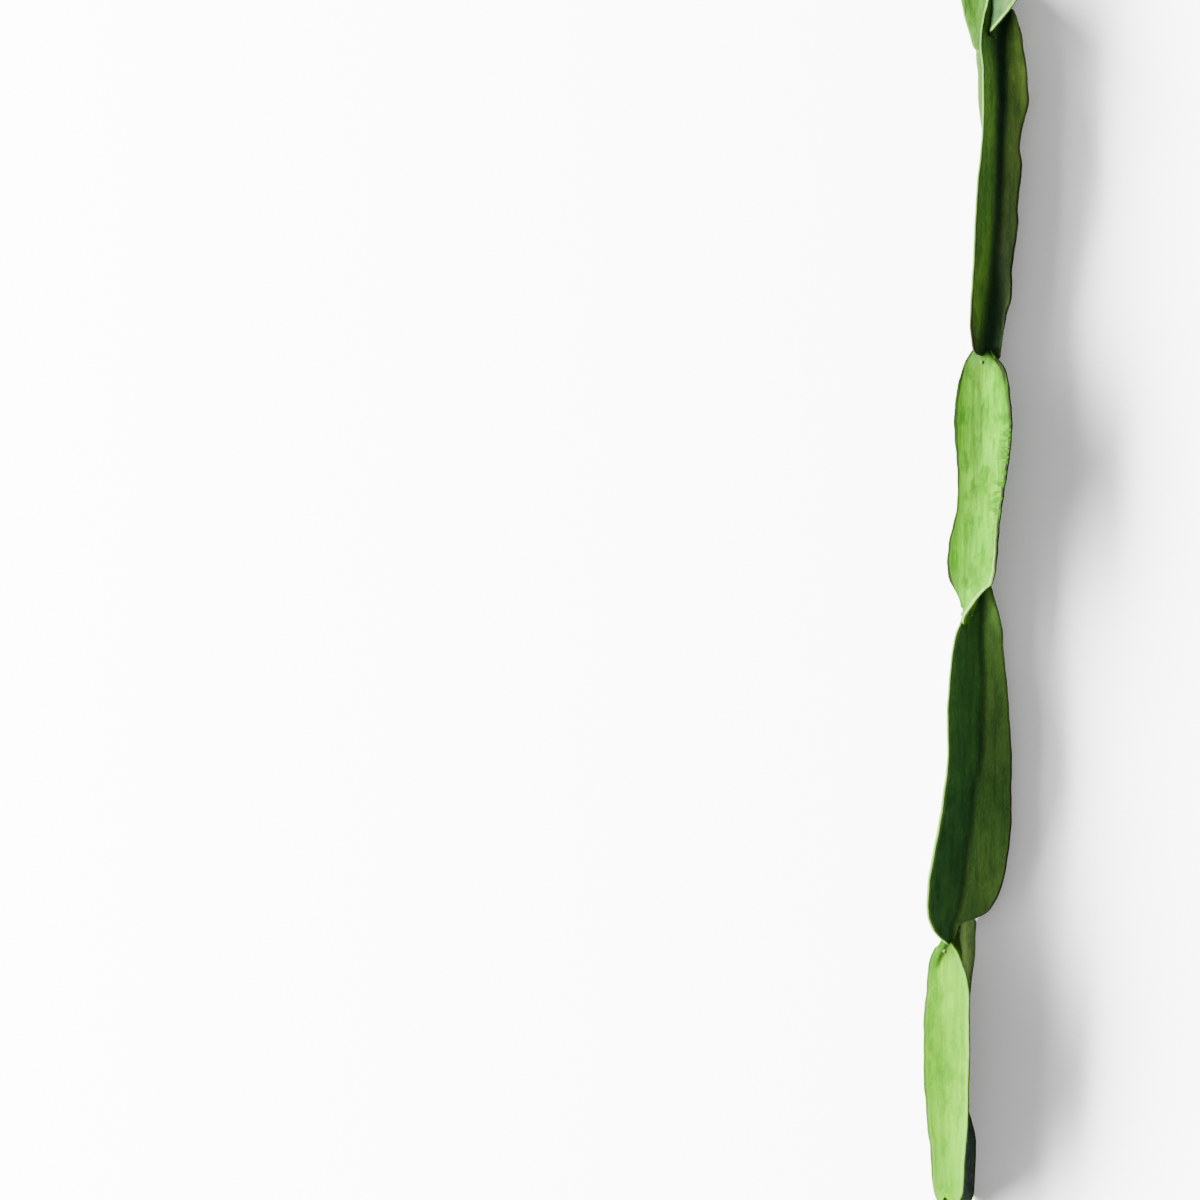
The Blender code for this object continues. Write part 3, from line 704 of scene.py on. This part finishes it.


# Segment 5 is a narrow segment with its face turned to the light, almost straight, with a short
# slit beside its neck that is painted dark as shade, and a wing under it that stands out to the
# right. That lower wing's tint lifts it to olive grey near the neck, as painted light, and turns
# it grey-blue further down, as painted shade; the other wings' tints darken them at the neck, as
# painted shade.
segment_5 = grow_segment(
    "segment_5_flesh", 237.0, 316.0, foot=BROAD_FOOT, groove=(1.2, 0.0, 0.12),
    core_line=((237.0, 1.2), (248.0, 1.6), (254.0, 2.15), (306.0, 2.15), (316.0, 1.2)),
    wings=(
        # Upper wing, which leans to the right.
        {"turn": ((247.0, 88), (248.2, 82), (250.0, 70), (252.8, 65), (255.8, 61), (261.0, 58),
                  (315.0, 58)),
         "edge": ((246.8, 2.0), (248.2, 3.3), (250.0, 4.7), (252.8, 6.2), (255.8, 7.5),
                  (261.0, 8.5), (267.0, 8.6), (275.0, 8.3), (282.0, 7.8), (290.0, 7.7),
                  (303.0, 7.1), (309.0, 6.6), (312.0, 4.6), (313.2, 2.5), (315.0, 2.0)),
         "wave": (0.15, 33, 0.9),
         "rim": ((246.0, 0.0, 0.2), (265.0, 0.1, 0.35), (315.0, 0.2, 0.4)),
         "tone_and_painted_light": ((246.0, 0.6, 0.5, 1.5), (249.5, 0.8, 0.66, 1.2), (253.0, 1.25, 1.1, 0.6),
                  (275.0, 1.18, 1.08, 0.3), (315.0, 1.1, 1.08, 0.3)),
         "groove": ((246.0, 1.1, -0.8, 0.95), (248.5, 1.3, -0.3, 1.0), (251.0, 1.3, 1.3, 0.95),
                    (253.0, 1.1, 2.1, 0.75), (254.8, 0.9, 2.5, 0.0), (264.0, 1.2, 0.0, 0.0),
                    (315.0, 1.2, 0.0, 0.0))},
        # Left-hand wing.
        {"turn": steady(180),
         "edge": ((246.2, 2.0), (247.4, 2.6), (248.2, 3.0), (249.0, 4.0), (251.0, 4.9),
                  (253.8, 5.6), (260.0, 6.0), (267.0, 6.7), (282.0, 6.75), (287.0, 6.3),
                  (293.5, 5.8), (299.0, 4.9), (305.0, 4.4), (310.0, 3.7), (313.2, 2.5),
                  (315.0, 2.0)),
         "wave": (0.2, 29, 1.6),
         "rim": steady(0.5, 0.2),
         "tone_and_painted_light": ((246.0, 0.5, 0.6, 0.6), (254.0, 0.6, 0.7, 0.6), (262.0, 1.02, 1.0, 0.6),
                  (290.0, 0.95, 0.9, 0.8), (315.0, 0.98, 0.92, 0.8))},
        # Lower wing, which stands out to the right.
        {"turn": ((239.4, 312), (250.0, 313), (258.0, 309), (268.0, 305), (283.0, 302.5),
                  (289.0, 304), (293.0, 310), (296.5, 314.5), (300.0, 316), (315.0, 314)),
         "edge": ((239.4, 2.0), (240.4, 3.3), (241.6, 8.0), (243.0, 9.3), (246.0, 9.7),
                  (270.0, 9.7), (302.0, 9.8), (309.0, 9.8), (312.0, 9.3), (313.8, 7.0),
                  (315.0, 3.5), (315.8, 2.0)),
         "wave": (0.1, 35, 2.4),
         "rim": ((239.0, 0.4, 0.0), (256.0, 0.4, 0.0), (315.0, 1.0, 0.0)),
         "tone_and_painted_light": ((239.0, 7.0, 3.3, 48.0), (248.0, 7.0, 3.2, 48.0), (254.0, 6.5, 2.9, 48.0),
                  (262.0, 2.4, 1.1, 22.0), (275.0, 1.3, 0.55, 18.0), (290.0, 1.6, 0.55, 26.0),
                  (315.0, 1.7, 0.6, 28.0))},
    ),
)
segment_5.data.materials.append(flesh_material(
    "segment_5_skin",
    pale=(0.021, 0.069, 0.001), middle=(0.014, 0.055, 0.001), deep=(0.0065, 0.034, 0.001),
    edge=EDGE_BROWN_IN_LIGHT, streaks=0.35, mottle=0.6, shade=0.5, groove_green=(0.0010, 0.0034, 0.0001)))
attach(segment_5, "root")
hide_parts("stem_segment_5")


# Segment 6 is the beginning of the next segment. It is cut across at the strand's lower end, and
# the cut bares the same pale flesh as the upper one.
LOWER_CUT_STATION = UPPER_CUT_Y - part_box("stem_segment_6")[0][1] / MM
segment_6 = grow_segment(
    "segment_6_flesh", 307.0, LOWER_CUT_STATION, foot=SHARP_FOOT, groove=(1.8, 0.0, 0.5),
    core_line=((307.0, 1.2), (313.0, 1.7), (318.0, 2.15), (323.0, 2.15)),
    wings=(
        # Right-hand wing.
        {"turn": steady(5),
         "edge": ((310.0, 2.0), (311.4, 3.3), (315.0, 5.6), (319.0, 6.8), (323.0, 7.4)),
         "wave": (0.15, 25, 0.5),
         "rim": steady(0.8, 0.2)},
        # Upper wing, which leans to the left.
        {"turn": steady(125),
         "edge": ((310.4, 2.0), (311.8, 3.3), (315.0, 5.0), (319.0, 6.2), (323.0, 6.9)),
         "wave": (0.15, 25, 1.5),
         "rim": steady(0.1, 0.6)},
        # Lower wing.
        {"turn": steady(245),
         "edge": ((310.8, 2.0), (312.2, 3.3), (315.0, 5.2), (319.0, 6.6), (323.0, 7.2)),
         "wave": (0.15, 25, 2.5),
         "rim": steady(1.0, 0.0)},
    ),
)
segment_6.data.materials.append(flesh_material(
    "segment_6_skin",
    pale=(0.030, 0.092, 0.006), middle=(0.019, 0.070, 0.005), deep=(0.008, 0.038, 0.005),
    edge=EDGE_BROWN_IN_LIGHT, streaks=0.5, mottle=0.5, shade=0.4))
cut_across(segment_6, LOWER_CUT_STATION, cut_material("lower_cut_flesh", LOWER_CUT_STATION))
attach(segment_6, "root")
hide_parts("stem_segment_6")


# Every wing ends in an areole: a low cushion with a tuft of short wool on it, lying outwards and
# down the stem on the narrow neck between two segments.
CUSHION = (0.40, 0.46, 0.40)
HAIR_COUNT = 46
HAIR_LENGTH = (0.40, 0.80)
HAIR_RADIUS = 0.045
HAIR_SPREAD = 0.55
DOWN_THE_STEM = Vector((0, -0.5, 0))
SEARCH = 12.0


def wool_material():
    """Dull whitish-green wool with darker patches."""
    material = bpy.data.materials.new("areole_wool")
    material.use_nodes = True
    nodes, links = material.node_tree.nodes, material.node_tree.links
    wool = nodes["Principled BSDF"]
    coords = nodes.new("ShaderNodeTexCoord")
    patches = nodes.new("ShaderNodeTexNoise")
    patches.inputs["Scale"].default_value = 2200
    links.new(coords.outputs["Object"], patches.inputs["Vector"])
    colours = nodes.new("ShaderNodeValToRGB")
    colours.color_ramp.elements[0].position = 0.35
    colours.color_ramp.elements[0].color = (0.017, 0.029, 0.008, 1)
    colours.color_ramp.elements[1].position = 0.65
    colours.color_ramp.elements[1].color = (0.058, 0.090, 0.028, 1)
    links.new(patches.outputs["Fac"], colours.inputs["Fac"])
    links.new(colours.outputs["Color"], wool.inputs["Base Color"])
    wool.inputs["Roughness"].default_value = 0.95
    wool.inputs["Specular IOR Level"].default_value = 0.05
    bump = nodes.new("ShaderNodeBump")
    bump.inputs["Strength"].default_value = 0.7
    bump.inputs["Distance"].default_value = 0.08 * MM
    links.new(patches.outputs["Fac"], bump.inputs["Height"])
    links.new(bump.outputs["Normal"], wool.inputs["Normal"])
    return material


def skin_point(point, outward):
    """Where a line straight out from the stem through a point leaves the skin."""
    start = point + outward * SEARCH * MM
    hits = []
    for segment in (segment_1, segment_2, segment_3, segment_4, segment_5, segment_6):
        found, place = segment.ray_cast(start, -outward)[:2]
        if found:
            hits.append(place)
    return min(hits, key=lambda place: (place - start).length)


def grow_areole(node, material):
    """Sets a cushion with its tuft of wool on the skin, where the node's areole is."""
    low, high = (Vector(corner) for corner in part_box(node))
    middle = (low + high) / 2
    centre = smooth_line(CENTRE_LINE, np.array([UPPER_CUT_Y - middle.y / MM]))[0]
    outward = Vector((middle.x - (centre[0] + STRAND_SHIFT) * MM, 0, middle.z - centre[1] * MM))
    middle = skin_point(middle, outward.normalized())
    outward = (outward.normalized() + DOWN_THE_STEM).normalized()
    chance = random.Random(node)
    bpy.ops.object.select_all(action="DESELECT")
    bpy.ops.mesh.primitive_ico_sphere_add(subdivisions=3, radius=MM, location=middle, scale=CUSHION)
    tuft = bpy.context.object
    tuft.name = tuft.data.name = node + "_tuft"
    bpy.ops.object.transform_apply(location=True, rotation=True, scale=True)
    bpy.ops.object.mode_set(mode="EDIT")
    for _ in range(HAIR_COUNT):
        lean = Vector([chance.gauss(0, HAIR_SPREAD) for _ in range(3)])
        way = (outward + lean).normalized()
        length = chance.uniform(*HAIR_LENGTH) * MM
        bpy.ops.mesh.primitive_cone_add(
            vertices=4, radius1=HAIR_RADIUS * MM, radius2=0, depth=length,
            location=middle + way * length / 2, rotation=way.to_track_quat("Z", "Y").to_euler())
    bpy.ops.object.mode_set(mode="OBJECT")
    bpy.ops.object.shade_smooth()
    tuft.data.materials.append(material)
    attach(tuft, "root")
    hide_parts(node)


areole_wool = wool_material()
for number in "12345":
    for wing in "abc":
        grow_areole("areole_" + number + wing, areole_wool)


# The stem lies on a plain pale table top, lit softly from the left and a little from above.
# The camera looks straight down.
TABLE_BREADTH = 6.0
bpy.ops.object.select_all(action="DESELECT")
bpy.ops.mesh.primitive_plane_add(size=TABLE_BREADTH, location=(0, 0, 0))
table_top = bpy.context.object
table_top.name = "table_top"
paper = bpy.data.materials.new("table_paint")
paper.use_nodes = True
paint = paper.node_tree.nodes["Principled BSDF"]
paint.inputs["Base Color"].default_value = (0.95, 0.95, 0.95, 1)
paint.inputs["Roughness"].default_value = 0.9
paint.inputs["Specular IOR Level"].default_value = 0.1
table_top.data.materials.append(paper)

sky = bpy.data.worlds.new("soft_room_light")
sky.use_nodes = True
sky.node_tree.nodes["Background"].inputs["Color"].default_value = (1, 1, 1, 1)
sky.node_tree.nodes["Background"].inputs["Strength"].default_value = 0.65
bpy.context.scene.world = sky

# A long bright panel stands low on the left, with a weak one above it that softens the shadow.
PANEL_DISTANCE = 1.7
PANEL_LENGTH = 3.6
for name, slope_degrees, breadth, power in (("window_light", 17.8, 0.44, 1390),
                                            ("window_glow", 27.0, 0.60, 75)):
    slope = math.radians(slope_degrees)
    place = (-PANEL_DISTANCE * math.cos(slope), 0.0, PANEL_DISTANCE * math.sin(slope))
    bpy.ops.object.light_add(type="AREA", location=place, rotation=(0, slope - math.pi / 2, 0))
    panel = bpy.context.object
    panel.name = name
    panel.data.shape = "RECTANGLE"
    panel.data.size = breadth
    panel.data.size_y = PANEL_LENGTH
    panel.data.energy = power

# The camera hangs to the left of the strand, and its distance is from the strand's middle height.
CAMERA_X = -0.0940
CAMERA_Y = -0.0005
CAMERA_DISTANCE = 1.5
STEM_HEIGHT = 0.0072
VIEW_BREADTH = 0.300
bpy.ops.object.camera_add(location=(CAMERA_X, CAMERA_Y, CAMERA_DISTANCE + STEM_HEIGHT),
                          rotation=(0, 0, 0))
camera = bpy.context.object
camera.name = "camera"
camera.data.angle = 2 * math.atan(VIEW_BREADTH / 2 / CAMERA_DISTANCE)
bpy.context.scene.camera = camera
